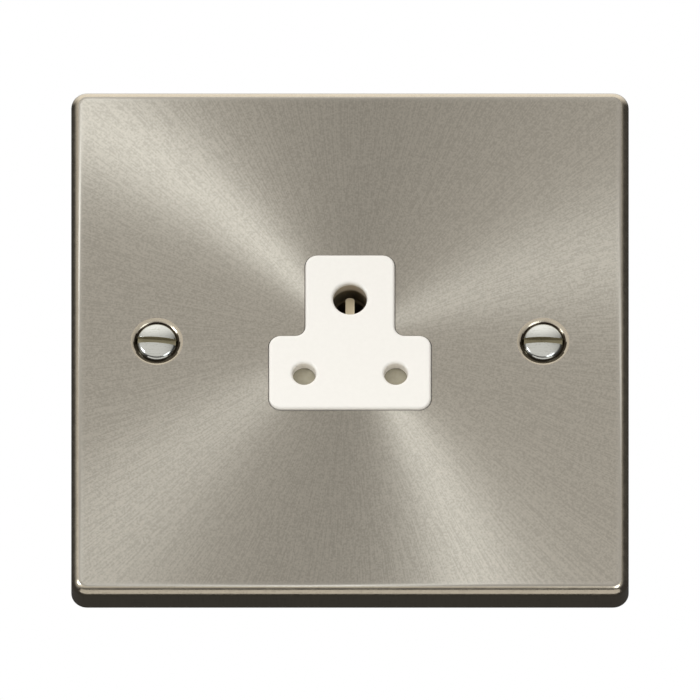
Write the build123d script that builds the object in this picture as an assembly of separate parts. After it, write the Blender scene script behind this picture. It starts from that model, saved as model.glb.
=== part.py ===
from build123d import *
import os
from math import isclose, sqrt, tan, radians

# A flush wall socket for a plug with three round pins, as it sits on the wall: +Z up, front towards -Y.
# The wall is the plane y = 0, and the origin lies midway between the two fixing screws.

# Faceplate, a square tray pressed from sheet
plate_side = 87.0
plate_depth = 5.4
plate_sheet = 1.0
plate_corner_radius = 2.5
plate_edge_radius = 1.6

# Fixing screws, and the dimples that take their heads
fixing_pitch = 60.3
screw_thread = 3.5
screw_length = 25.0
screw_neck = 2.9
screw_head = 6.3
screw_dome = 1.0
screw_slot_width = 1.0
screw_slot_depth = 1.1
screw_tip_chamfer = 0.4
left_slot_angle = -4.0
right_slot_angle = -0.7
screw_hole_play = 0.25
dimple_mouth = 7.0
dimple_lip_radius = 1.4
dimple_depth = 2.2
head_seat_gap = 0.03

# Keeper washers that stop the fixing screws from falling out
keeper_diameter = 6.4
keeper_thick = 0.8
keeper_play = 0.05
neck_room = 0.3

# White front that shows through the plate as a T
insert_foot_width = 25.3
insert_head_width = 13.94
insert_top = 14.8
insert_step = 0.88
insert_bottom = -11.84
insert_corner_radius = 1.9
insert_inner_radius = 1.6
insert_proud = 0.5
insert_edge_radius = 0.45
insert_play = 0.12

# Plug pins and the holes that let them in
earth_pin = 5.08
earth_pin_length = 20.6
earth_height = 7.25
earth_hole = 5.3
line_pin = 3.56
line_pin_length = 15.1
line_height = -5.75
line_pitch = 14.3
line_hole = 3.65
hole_lip_radius = 0.5
contact_play = 0.05
pin_end_room = 0.8

# Flange of the front, clamped against the plate by four studs
flange_skin = 0.5
flange_lip = 1.2
flange_corner_radius = 3.0
stud_pitch_x = 42.4
stud_pitch_z = 31.0
stud_margin = 3.4
stud_thread = 3.0
stud_play = 0.1
stud_end = 0.8
stud_tip_chamfer = 0.3
nut_across_flats = 5.5
nut_thick = 2.4
nut_chamfer = 0.3
nut_play = 0.05

# Sliding shutter behind the line and neutral holes, with a finger in the earth hole
shutter_thick = 2.0
shutter_gap = 0.2
shutter_side_gap = 0.25
shutter_lap = 0.3
shutter_end_lap = 0.6
shutter_travel = 5.0
shutter_stop_gap = 0.3
shutter_corner_radius = 1.0
stem_width = 2.8
finger_width = 1.4
finger_back = 1.2
finger_clear = 0.35
finger_root = 2.0
ramp_run = 2.0
finger_tip_radius = 0.6

# Coil spring under the shutter
spring_diameter = 1.9
spring_wire = 0.25
spring_length = 9.0
spring_turns = 9
spring_notch = 2.2
spring_end_gap = 0.05
spring_well_gap = 0.25

# Split contact sleeves and the steel rings that squeeze them
sleeve_wall = 0.8
sleeve_setback = 0.2
sleeve_slit = 0.5
sleeve_lead_in = 0.4
sleeve_fit = 0.03
earth_lip = 0.9
earth_guide = 5.8
earth_guide_end = 0.5
ring_thick = 0.5
ring_width = 2.0
ring_gap = 1.4
ring_offset = 3.0
ring_room = 0.3

# Terminal blocks and their screws
terminal_width = 7.0
terminal_depth = 8.0
terminal_wall = 1.0
terminal_web = 1.4
terminal_edge = 0.4
terminal_play = 0.15
terminal_rear_gap = 0.2
wire_hole = 3.4
wire_depth = 6.6
wire_window = 4.8
clamp_thread = 3.0
clamp_head = 4.4
clamp_head_height = 1.5
clamp_slot_width = 0.8
clamp_slot_depth = 0.8
clamp_lift = 0.3
clamp_tip_gap = 0.1
clamp_play = 0.03
clamp_setback = 3.4

# Contact carrier, rear cover and the screws that hold them to the front
carrier_wall = 1.6
carrier_side_wall = 0.8
carrier_corner_radius = 2.5
carrier_end_gap = 0.3
bore_play = 0.15
cover_thick = 2.2
cover_edge_radius = 0.6
access_hole = 5.0
boss_diameter = 6.0
boss_length = 6.0
boss_gap = 0.2
base_screw_pitch_x = 26.4
base_screw_pitch_z = 27.0
base_screw_thread = 2.5
base_screw_head = 4.4
base_screw_head_height = 1.7
base_screw_sink = 1.2
base_screw_play = 0.2
base_screw_grip = 1.5
pilot_play = 0.05
pilot_end_room = 0.3

# Earth strap between one plate stud and the earth sleeve
strap_thick = 0.6
strap_width = 4.0
strap_eye_margin = 2.0
strap_gap = 0.1

# Depths from front to back
plate_front = -plate_depth
plate_inner = plate_front + plate_sheet
insert_face = plate_front - insert_proud
pocket_face = plate_inner + flange_skin
shutter_front = pocket_face + shutter_gap
shutter_back = shutter_front + shutter_thick
carrier_front = shutter_back + shutter_gap
carrier_back = insert_face + earth_pin_length + carrier_end_gap
cover_back = carrier_back + cover_thick
boss_back = carrier_front + boss_length
terminal_back = carrier_back - terminal_rear_gap
terminal_front = terminal_back - terminal_depth
wire_line = terminal_front + terminal_depth / 2
earth_sleeve_front = insert_face + earth_lip
line_sleeve_front = carrier_front + sleeve_setback
line_sleeve_back = insert_face + line_pin_length + pin_end_room
ring_front = carrier_front + ring_offset

# Bores and outer diameters of the contacts
earth_bore = earth_pin + 2 * contact_play
earth_sleeve_diameter = earth_bore + 2 * sleeve_wall
line_bore = line_pin + 2 * contact_play
line_sleeve_diameter = line_bore + 2 * sleeve_wall

# Heights of the terminals, and of the carrier that holds them
terminal_beyond_sleeve = terminal_web + wire_depth
earth_terminal_low = earth_height - earth_sleeve_diameter / 2 - terminal_wall
earth_terminal_high = earth_height + earth_sleeve_diameter / 2 + terminal_beyond_sleeve
line_terminal_high = line_height + line_sleeve_diameter / 2 + terminal_wall
line_terminal_low = line_height - line_sleeve_diameter / 2 - terminal_beyond_sleeve
earth_clamp_height = earth_terminal_high - clamp_setback
line_clamp_height = line_terminal_low + clamp_setback
carrier_top = earth_terminal_high + terminal_play + carrier_wall
carrier_bottom = line_terminal_low - terminal_play - carrier_wall
carrier_middle = (carrier_top + carrier_bottom) / 2
carrier_height = carrier_top - carrier_bottom
carrier_width = base_screw_pitch_x + boss_diameter + 2 * boss_gap + 2 * carrier_side_wall

# Shutter heights at rest
bar_half_width = line_pitch / 2 + line_hole / 2 + shutter_end_lap
bar_low = line_height - line_hole / 2 - shutter_lap
bar_high = line_height + line_hole / 2 + shutter_lap
stem_high = earth_height - earth_sleeve_diameter / 2 - shutter_stop_gap
finger_high = earth_height - earth_hole / 2 - finger_clear + shutter_travel
finger_low = stem_high - finger_root
ramp_low = finger_high - shutter_travel
ramp_top = shutter_front + ramp_run
finger_rear = ramp_top + finger_back
spring_high = bar_low + spring_notch
spring_low = spring_high - spring_length
spring_line = (shutter_front + shutter_back) / 2

# Places of what repeats
fixing_places = [-fixing_pitch / 2, fixing_pitch / 2]
line_places = [line_pitch / 2, -line_pitch / 2]
stud_places = [
    (side * stud_pitch_x / 2, carrier_middle + rise * stud_pitch_z / 2)
    for side in (-1, 1)
    for rise in (1, -1)
]
base_screw_places = [
    (side * base_screw_pitch_x / 2, carrier_middle + rise * base_screw_pitch_z / 2)
    for side in (-1, 1)
    for rise in (1, -1)
]
strap_stud = stud_places[0]
past = 1.0


def slab(outline, front, back):
    """An outline drawn as seen from the front, given depth from front to back."""
    return extrude(Plane.XZ.offset(-back) * outline, amount=back - front)


def block(x_low, x_high, front, back, z_low, z_high):
    """A square-edged block between two corners."""
    centre = Pos((x_low + x_high) / 2, (front + back) / 2, (z_low + z_high) / 2)
    return centre * Box(x_high - x_low, back - front, z_high - z_low)


def turned(points, x=0.0, z=0.0):
    """A closed profile of radius and depth, turned about a line that runs front to back."""
    profile = make_face(Polyline(*points, close=True))
    return Pos(x, 0, z) * revolve(profile, Axis.Y)


def rod(diameter, front, back, x=0.0, z=0.0):
    """A plain round bar or hole that runs front to back."""
    radius = diameter / 2
    return turned([(0, front), (radius, front), (radius, back), (0, back)], x, z)


def tipped_rod(diameter, front, back, chamfer_size, x=0.0, z=0.0):
    """A round bar with a chamfered rear end."""
    radius = diameter / 2
    small = radius - chamfer_size
    start = back - chamfer_size
    return turned([(0, front), (radius, front), (radius, start), (small, back), (0, back)], x, z)


def insert_outline():
    """The T of the white front, drawn as seen from the front."""
    foot = insert_foot_width / 2
    head = insert_head_width / 2
    inner = [(head, insert_step), (-head, insert_step)]
    outer = [(foot, insert_bottom), (foot, insert_step), (head, insert_top)]
    outer += [(-x, z) for x, z in outer]
    loop = outer[:2] + inner[:1] + [outer[2], outer[5]] + inner[1:] + [outer[4], outer[3]]
    outline = make_face(Polyline(*loop, close=True))
    for corners, radius in ((inner, insert_inner_radius), (outer, insert_corner_radius)):
        chosen = [
            vertex
            for vertex in outline.vertices()
            if any(isclose(vertex.X, x) and isclose(vertex.Y, z) for x, z in corners)
        ]
        outline = fillet(chosen, radius)
    return outline


def carrier_outline():
    """The rounded rectangle shared by the carrier and the rear cover."""
    return Pos(0, carrier_middle) * RectangleRounded(carrier_width, carrier_height, carrier_corner_radius)


def make_faceplate():
    """The pressed tray with its T aperture and two dimples."""
    half = plate_side / 2
    plate = block(-half, half, plate_front, 0, -half, half)
    plate = fillet(plate.edges().filter_by(Axis.Y), plate_corner_radius)
    plate = fillet(plate.faces().sort_by(Axis.Y)[0].edges(), plate_edge_radius)
    inside = plate_side - 2 * plate_sheet
    inner_radius = max(plate_corner_radius - plate_sheet, plate_sheet / 4)
    plate -= slab(RectangleRounded(inside, inside, inner_radius), plate_inner, past)
    mouth = dimple_mouth / 2
    hole = screw_thread / 2 + screw_hole_play
    back = plate_front + dimple_depth
    skirt = mouth + plate_sheet * sqrt(2)
    bulge = [(0, plate_inner), (skirt - plate_sheet, plate_inner), (skirt - dimple_depth, back), (0, back)]
    cone_end = plate_front + mouth - hole
    cone = [(0, plate_front), (mouth, plate_front), (hole, cone_end), (0, cone_end)]
    for x in fixing_places:
        plate += turned(bulge, x)
        plate -= turned(cone, x)
        plate -= rod(2 * hole, plate_front, back + past, x)
    lips = [
        edge
        for edge in plate.edges().filter_by(GeomType.CIRCLE)
        if isclose(edge.radius, mouth) and isclose(edge.center().Y, plate_front)
    ]
    plate = fillet(lips, dimple_lip_radius)
    aperture = offset(insert_outline(), amount=insert_play)
    return plate - slab(aperture, plate_front - past, plate_inner + past)


def make_fixing_screw(x, slot_angle):
    """A raised countersunk screw with a slotted head, a waisted neck and a full thread."""
    rim = screw_head / 2
    neck = screw_neck / 2
    thread = screw_thread / 2
    rim_depth = plate_front + dimple_mouth / 2 - rim - head_seat_gap * sqrt(2)
    top = rim_depth - screw_dome
    neck_start = rim_depth + rim - neck
    thread_start = plate_front + dimple_depth + keeper_thick + neck_room
    tip = rim_depth + screw_length
    dome_radius = (rim**2 + screw_dome**2) / (2 * screw_dome)
    dome = RadiusArc((rim, rim_depth), (0, top), dome_radius)
    shank = Polyline(
        (0, top),
        (0, tip),
        (thread - screw_tip_chamfer, tip),
        (thread, tip - screw_tip_chamfer),
        (thread, thread_start),
        (neck, thread_start),
        (neck, neck_start),
        (rim, rim_depth),
    )
    screw = revolve(make_face([dome, *shank.edges()]), Axis.Y)
    half_slot = screw_slot_width / 2
    slot = block(-screw_head, screw_head, top - past, top + screw_slot_depth, -half_slot, half_slot)
    screw -= Rot(0, -slot_angle, 0) * slot
    return Pos(x, 0, 0) * screw


def make_keeper(x):
    """A soft washer on the neck of a fixing screw, against the back of its dimple."""
    front = plate_front + dimple_depth
    back = front + keeper_thick
    return rod(keeper_diameter, front, back, x) - rod(screw_neck + 2 * keeper_play, front, back, x)


def make_stud(x, z):
    """A threaded stud welded to the back of the plate."""
    tip = nut_front(x, z) + nut_thick + stud_end
    return tipped_rod(stud_thread, plate_inner, tip, stud_tip_chamfer, x, z)


def nut_front(x, z):
    """Where a nut seats: on the flange, or on the strap at the strap's stud."""
    return carrier_front + (strap_thick if (x, z) == strap_stud else 0)


def make_nut(x, z):
    """A hexagon nut with chamfered corners."""
    front = nut_front(x, z)
    back = front + nut_thick
    corner = nut_across_flats / sqrt(3)
    nut = slab(Pos(x, z) * RegularPolygon(nut_across_flats / 2, 6, major_radius=False), front, back)
    drop = nut_chamfer * tan(radians(30))
    nut &= turned(
        [
            (0, front),
            (corner - nut_chamfer, front),
            (corner, front + drop),
            (corner, back - drop),
            (corner - nut_chamfer, back),
            (0, back),
        ],
        x,
        z,
    )
    return nut - rod(stud_thread + 2 * nut_play, front, back, x, z)


def make_socket_front():
    """The white front: T, flange, shutter pocket, pin holes and screw bosses in one moulding."""
    boss_face = slab(insert_outline(), insert_face, plate_inner + past)
    front = fillet(boss_face.faces().sort_by(Axis.Y)[0].edges(), insert_edge_radius)
    flange = Pos(0, carrier_middle) * RectangleRounded(
        stud_pitch_x + 2 * stud_margin, carrier_height + 2 * flange_lip, flange_corner_radius
    )
    front += slab(flange, plate_inner, carrier_front)
    for x, z in base_screw_places:
        front += rod(boss_diameter, carrier_front - flange_skin, boss_back, x, z)
        pilot_end = carrier_front - base_screw_grip - pilot_end_room
        front -= rod(base_screw_thread + 2 * pilot_play, pilot_end, boss_back + past, x, z)
    for x, z in stud_places:
        front -= rod(stud_thread + 2 * stud_play, plate_inner - past, carrier_front + past, x, z)
    for x, z, hole in pin_holes():
        front -= rod(hole, insert_face - past, pocket_face + past, x, z)
    mouths = [
        edge
        for edge in front.edges().filter_by(GeomType.CIRCLE)
        if edge.is_closed and isclose(edge.center().Y, insert_face)
    ]
    front = fillet(mouths, hole_lip_radius)
    seat = earth_sleeve_diameter + 2 * bore_play
    front -= rod(seat, earth_sleeve_front, carrier_front + past, 0, earth_height)
    return front - shutter_room()


def pin_holes():
    """Place and diameter of each pin hole."""
    return [(0, earth_height, earth_hole)] + [(x, line_height, line_hole) for x in line_places]


def shutter_room():
    """The pocket in the back of the front that the shutter and its spring move in."""
    back = carrier_front + past
    bar = bar_half_width + shutter_side_gap
    stem = stem_width / 2 + shutter_side_gap
    finger = finger_width / 2 + shutter_side_gap
    well = spring_diameter / 2 + spring_well_gap
    floor = bar_low - shutter_travel - shutter_stop_gap
    room = block(-bar, bar, pocket_face, back, floor, bar_high + shutter_side_gap)
    room += block(-stem, stem, pocket_face, back, bar_low, stem_high + shutter_side_gap)
    room += block(-finger, finger, pocket_face, back, bar_low, earth_height)
    room += block(-well, well, pocket_face, back, spring_low - spring_end_gap, bar_low)
    return room


def make_shutter():
    """The bar over the line and neutral holes, its stem, and the finger that the earth pin pushes."""
    bar = slab(
        Pos(0, (bar_low + bar_high) / 2)
        * RectangleRounded(2 * bar_half_width, bar_high - bar_low, shutter_corner_radius),
        shutter_front,
        shutter_back,
    )
    stem = block(-stem_width / 2, stem_width / 2, shutter_front, shutter_back, spring_high, stem_high)
    notch = spring_diameter / 2 + spring_well_gap
    bar -= block(-notch, notch, shutter_front - past, shutter_back + past, bar_low - past, spring_high)
    return bar + stem + make_finger()


def make_finger():
    """The shutter's finger, round at its tip, with a ramp that faces forwards and up."""
    outline = Pos(0, (finger_low + finger_high) / 2) * Rectangle(finger_width, finger_high - finger_low)
    outline = fillet(outline.vertices().group_by(Axis.Y)[-1], finger_tip_radius)
    finger = slab(outline, shutter_front, finger_rear)
    steep = (finger_high - ramp_low) / ramp_run
    start = (shutter_front - past, ramp_low - past * steep)
    end = (ramp_top + past, finger_high + past * steep)
    above = make_face(Polyline(start, end, (start[0], end[1]), close=True))
    return finger - Pos(-finger_width, 0, 0) * extrude(Plane.YZ * above, amount=2 * finger_width)


def make_shutter_spring():
    """The coil spring between the shutter's notch and the floor of its well."""
    radius = (spring_diameter - spring_wire) / 2
    rise = spring_length - spring_wire - spring_end_gap
    path = Helix(pitch=rise / spring_turns, height=rise, radius=radius)
    section = Plane(path @ 0, z_dir=path % 0) * Circle(spring_wire / 2)
    coil = sweep(section, path)
    return Pos(0, spring_line, spring_low + spring_wire / 2) * coil


def make_sleeve(bore, outside, front, back, x, z):
    """A plain contact tube with a lead-in at its mouth."""
    inner = bore / 2
    outer = outside / 2
    mouth = inner + sleeve_lead_in
    throat = front + sleeve_lead_in
    return turned([(mouth, front), (outer, front), (outer, back), (inner, back), (inner, throat)], x, z)


def make_line_sleeve(x):
    """A line or neutral contact, slit across so that its two halves grip the pin."""
    span = (line_sleeve_front, line_sleeve_back)
    sleeve = make_sleeve(line_bore, line_sleeve_diameter, *span, x, line_height)
    reach = line_sleeve_diameter
    half = sleeve_slit / 2
    slit_end = terminal_front - ring_room
    return sleeve - block(
        x - reach, x + reach, line_sleeve_front - past, slit_end, line_height - half, line_height + half
    )


def make_earth_sleeve():
    """The earth contact: a wide guide at the front with a slot for the shutter's finger, then the grip."""
    span = (earth_sleeve_front, terminal_back)
    sleeve = make_sleeve(earth_bore, earth_sleeve_diameter, *span, 0, earth_height)
    guide = earth_guide / 2
    grip = earth_bore / 2
    step = earth_guide_end + guide - grip
    sleeve -= turned(
        [
            (0, earth_sleeve_front - past),
            (guide, earth_sleeve_front - past),
            (guide, earth_guide_end),
            (grip, step),
            (0, step),
        ],
        0,
        earth_height,
    )
    slot = finger_width / 2 + shutter_side_gap
    slot_end = finger_rear + shutter_gap
    half = sleeve_slit / 2
    low = earth_height - earth_sleeve_diameter
    sleeve -= block(-slot, slot, earth_sleeve_front - past, slot_end, low, earth_height)
    return sleeve - block(-half, half, earth_sleeve_front - past, terminal_front - ring_room, low, earth_height)


def make_grip_ring(outside, x, z, opens_up):
    """A spring-steel ring around a split sleeve, open on one side."""
    inner = outside + 2 * sleeve_fit
    back = ring_front + ring_width
    ring = rod(inner + 2 * ring_thick, ring_front, back, x, z) - rod(inner, ring_front, back, x, z)
    half = ring_gap / 2
    reach = outside
    if opens_up:
        return ring - block(x - half, x + half, ring_front, back, z, z + reach)
    return ring - block(x - reach, x, ring_front, back, z - half, z + half)


def make_terminal(outside, x, low, high, sleeve_height, sleeve_back, wire_mouth, clamp_height):
    """A brass block that holds a sleeve's tail, with a wire hole and a thread for the clamp screw."""
    half = terminal_width / 2
    body = block(x - half, x + half, terminal_front, terminal_back, low, high)
    body = chamfer(body.edges(), terminal_edge)
    body -= rod(outside + 2 * sleeve_fit, terminal_front - past, sleeve_back, x, sleeve_height)
    inward = -1 if wire_mouth == high else 1
    wire = Cylinder(wire_hole / 2, wire_depth, align=(Align.CENTER, Align.CENTER, Align.CENTER))
    body -= Pos(x, wire_line, wire_mouth + inward * wire_depth / 2) * wire
    return body - rod(clamp_thread + 2 * clamp_play, wire_line, terminal_back + past, x, clamp_height)


def make_clamp_screw(x, z):
    """A slotted terminal screw, backed off to leave the wire hole clear."""
    tip = wire_line + wire_hole / 2 + clamp_tip_gap
    seat = terminal_back + clamp_lift
    top = seat + clamp_head_height
    slot = top - clamp_slot_depth
    half = clamp_slot_width / 2
    screw = rod(clamp_thread, tip, seat + clamp_slot_depth / 2, x, z) + rod(clamp_head, seat, top, x, z)
    return screw - block(x - clamp_head, x + clamp_head, slot, top + past, z - half, z + half)


def sleeve_bores():
    """Place, outside diameter and terminal span of each contact."""
    earth = [(0, earth_height, earth_sleeve_diameter, earth_terminal_low, earth_terminal_high)]
    lines = [
        (x, line_height, line_sleeve_diameter, line_terminal_low, line_terminal_high) for x in line_places
    ]
    return earth + lines


def make_contact_carrier():
    """The moulded block that holds the sleeves from behind and closes the shutter's pocket."""
    carrier = slab(carrier_outline(), carrier_front, carrier_back)
    floor = terminal_front - terminal_play
    half = terminal_width / 2 + terminal_play
    window = wire_window / 2
    for x, z, outside, low, high in sleeve_bores():
        chamber = outside + 2 * (sleeve_fit + ring_thick + ring_room)
        carrier -= rod(outside + 2 * bore_play, carrier_front - past, floor + past, x, z)
        carrier -= rod(chamber, ring_front - ring_room, floor + past, x, z)
        low_play = low - terminal_play
        high_play = high + terminal_play
        carrier -= block(x - half, x + half, floor, carrier_back + past, low_play, high_play)
        upward = z == earth_height
        outer = carrier_top + past if upward else carrier_bottom - past
        ends = sorted([high if upward else low, outer])
        carrier -= block(x - window, x + window, wire_line - window, carrier_back + past, *ends)
    screw_way = base_screw_thread + 2 * base_screw_play
    boss_way = boss_diameter + 2 * boss_gap
    for x, z in base_screw_places:
        carrier -= rod(screw_way, carrier_front - past, carrier_back + past, x, z)
        carrier -= rod(boss_way, carrier_front - past, boss_back + boss_gap, x, z)
    slot = finger_width / 2 + shutter_side_gap
    slot_low = finger_low - shutter_travel - shutter_stop_gap
    carrier -= block(-slot, slot, carrier_front - past, finger_rear + shutter_gap, slot_low, earth_height)
    groove = strap_width / 2 + strap_gap
    groove_floor = carrier_front + strap_thick + strap_gap
    return carrier - block(
        -carrier_width, 0, carrier_front - past, groove_floor, earth_height - groove, earth_height + groove
    )


def make_rear_cover():
    """The plate that shuts the terminals in, with holes for a screwdriver."""
    cover = slab(carrier_outline(), carrier_back, cover_back)
    cover = fillet(cover.faces().sort_by(Axis.Y)[-1].edges(), cover_edge_radius)
    for x, z in clamp_places():
        cover -= rod(access_hole, carrier_back - past, cover_back + past, x, z)
    sink = cover_back - base_screw_sink
    for x, z in base_screw_places:
        cover -= rod(base_screw_thread + 2 * base_screw_play, carrier_back - past, cover_back, x, z)
        cover -= rod(base_screw_head + 2 * base_screw_play, sink, cover_back + past, x, z)
    return cover


def clamp_places():
    """Where the terminal screws stand, as seen from the front."""
    return [(0, earth_clamp_height)] + [(x, line_clamp_height) for x in line_places]


def make_base_screw(x, z):
    """A slotted screw that pulls the cover and the carrier onto the front's boss."""
    seat = cover_back - base_screw_sink
    top = seat + base_screw_head_height
    tip = carrier_front - base_screw_grip
    screw = rod(base_screw_thread, tip, seat + base_screw_head_height / 2, x, z)
    screw += rod(base_screw_head, seat, top, x, z)
    half = clamp_slot_width / 2
    reach = base_screw_head
    return screw - block(x - half, x + half, top - clamp_slot_depth, top + past, z - reach, z + reach)


def make_earth_strap():
    """A flat strip from a plate stud, down beside the carrier and across to the earth sleeve."""
    stud_x, stud_z = strap_stud
    front = carrier_front
    back = carrier_front + strap_thick
    half = strap_width / 2
    eye = stud_thread + 2 * strap_eye_margin
    strap = rod(eye, front, back, stud_x, stud_z)
    strap += block(stud_x - half, stud_x + half, front, back, earth_height - half, stud_z)
    horn = sqrt((earth_sleeve_diameter / 2) ** 2 - half**2)
    strap += block(stud_x - half, -horn, front, back, earth_height - half, earth_height + half)
    strap -= rod(earth_sleeve_diameter + 2 * sleeve_fit, front, back, 0, earth_height)
    return strap - rod(stud_thread + 2 * stud_play, front, back, stud_x, stud_z)


def save(name, *solids):
    """Write one node, as one solid or as a group of separate solids."""
    shape = solids[0] if len(solids) == 1 else Compound(children=list(solids))
    shape.label = name
    export_step(shape, os.path.join("parts", f"{name}.step"))


os.makedirs("parts", exist_ok=True)
save("faceplate", make_faceplate())
save(
    "fixing_screws",
    make_fixing_screw(fixing_places[0], left_slot_angle),
    make_fixing_screw(fixing_places[1], right_slot_angle),
)
save("screw_keepers", *[make_keeper(x) for x in fixing_places])
save("plate_studs", *[make_stud(x, z) for x, z in stud_places])
save("stud_nuts", *[make_nut(x, z) for x, z in stud_places])
save("socket_front", make_socket_front())
save("shutter", make_shutter())
save("shutter_spring", make_shutter_spring())
save("contact_carrier", make_contact_carrier())
save("rear_cover", make_rear_cover())
save("base_screws", *[make_base_screw(x, z) for x, z in base_screw_places])
save("earth_strap", make_earth_strap())
save("earth_sleeve", make_earth_sleeve())
save("earth_grip_ring", make_grip_ring(earth_sleeve_diameter, 0, earth_height, True))
save(
    "earth_terminal",
    make_terminal(
        earth_sleeve_diameter,
        0,
        earth_terminal_low,
        earth_terminal_high,
        earth_height,
        terminal_back + past,
        earth_terminal_high,
        earth_clamp_height,
    ),
)
for name, x in zip(("line", "neutral"), line_places):
    save(f"{name}_sleeve", make_line_sleeve(x))
    save(f"{name}_grip_ring", make_grip_ring(line_sleeve_diameter, x, line_height, False))
    save(
        f"{name}_terminal",
        make_terminal(
            line_sleeve_diameter,
            x,
            line_terminal_low,
            line_terminal_high,
            line_height,
            line_sleeve_back,
            line_terminal_low,
            line_clamp_height,
        ),
    )
save("terminal_screws", *[make_clamp_screw(x, z) for x, z in clamp_places()])
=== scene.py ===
"""Looks of a flush wall socket for round pins: satin plate, white front, screws and the works behind."""

import logging
import math
from dataclasses import dataclass
from enum import Enum, IntEnum
from typing import Iterable, Sequence, Union

import bmesh
import bpy
from bmesh.types import BMEdge, BMesh, BMFace, BMVert
from mathutils import Matrix, Vector


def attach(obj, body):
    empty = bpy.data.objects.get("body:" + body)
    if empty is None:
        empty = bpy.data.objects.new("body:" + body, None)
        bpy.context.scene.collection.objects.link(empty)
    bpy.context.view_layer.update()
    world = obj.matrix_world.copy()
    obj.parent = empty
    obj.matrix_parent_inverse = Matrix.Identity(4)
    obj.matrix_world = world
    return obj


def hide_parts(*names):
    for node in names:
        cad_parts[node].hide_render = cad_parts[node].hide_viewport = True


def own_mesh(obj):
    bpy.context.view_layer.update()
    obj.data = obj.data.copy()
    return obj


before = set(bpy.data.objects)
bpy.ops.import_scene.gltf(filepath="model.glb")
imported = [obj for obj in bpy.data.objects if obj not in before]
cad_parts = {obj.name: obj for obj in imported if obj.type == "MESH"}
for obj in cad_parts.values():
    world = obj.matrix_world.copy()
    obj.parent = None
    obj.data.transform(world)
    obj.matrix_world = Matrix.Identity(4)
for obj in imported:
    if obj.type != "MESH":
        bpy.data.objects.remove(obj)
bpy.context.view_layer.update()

log = logging.getLogger("socket")

Colour = tuple[float, float, float]
Point = tuple[float, float]
Corner = tuple[float, float, float]
Feed = Union[bpy.types.NodeSocket, float, tuple]

# Meshes are built in millimetres, and a piece is scaled to metres when it is made.
MM = 0.001
UPRIGHT = Matrix.Rotation(math.radians(90), 4, "X")
AXIS_Y = Vector((0, 1, 0))
AXIS_Z = Vector((0, 0, 1))

# Points nearer than this are one, and a cut keeps to its plane within the second.
SNAP = 1e-3
CUT_SNAP = 1e-5

# Angles between faces: still flat, shaded as one surface, and sharp enough to be rounded.
FLAT_LIMIT = math.radians(0.5)
SMOOTH_LIMIT = math.radians(32)
SHARP_LIMIT = math.radians(35)

# Faces across an outline's corner and across a softened edge, and how far the edges of a slot are softened.
CORNER_STEPS = 10
EDGE_STEPS = 2
SLOT_EDGE = 0.06

# Thread: how far its root is sunk, the gap between turns, half its land as a share of half a turn,
# the turns left bare at the tip, and faces to a turn.
THREAD_SINK = 0.05
THREAD_GAP = 0.02
THREAD_LAND = 0.2
THREAD_BARE = 1.6
THREAD_STEPS = 24

# Noise: the span that most of it lies in, its middle, and the strength of its finer layers.
NOISE_SPAN = (0.3, 0.7)
MIDDLE = 0.5
LAYER_ROUGH = 0.6

# Turn and stretch of the two layers of scratches, and the heights between which they show.
SCUFF_LAYERS = (((0.3, 0.9, 0.5), (1.0, 0.06, 1.0)), ((1.1, 0.2, 2.0), (0.05, 1.0, 1.0)))
SCUFF_SPAN = (0.26, 0.4)

WHITE_LIGHT = (1.0, 1.0, 1.0, 1.0)


class Body(Enum):
    """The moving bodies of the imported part."""

    SOCKET = "socket"
    SHUTTER = "shutter"


class Slot(Enum):
    """The record's material slots."""

    SATIN = "satin_chrome"
    CHROME = "bright_chrome"
    PLATED = "plated_steel"
    SPRING = "spring_steel"
    BRASS = "brass"
    WHITE = "white_moulding"
    SHUTTER = "shutter_moulding"
    DARK = "dark_moulding"
    NYLON = "natural_nylon"


class PlateFace(IntEnum):
    """Finishes on the plate, in the order of its materials."""

    BRUSHED = 0
    POLISHED = 1
    BACK = 2
    # Steep dimple faces, whose dark colour is painted shade.
    SHADED_DIMPLE = 3


class ScrewFace(IntEnum):
    """Finishes on a screw, in the order of its materials."""

    OUTSIDE = 0
    # Faces in the slot, whose dark colour is painted shade.
    SLOT = 1


class Rounding(Enum):
    """What a rounding is laid on."""

    EDGES = "EDGES"
    CORNERS = "VERTICES"


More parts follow.
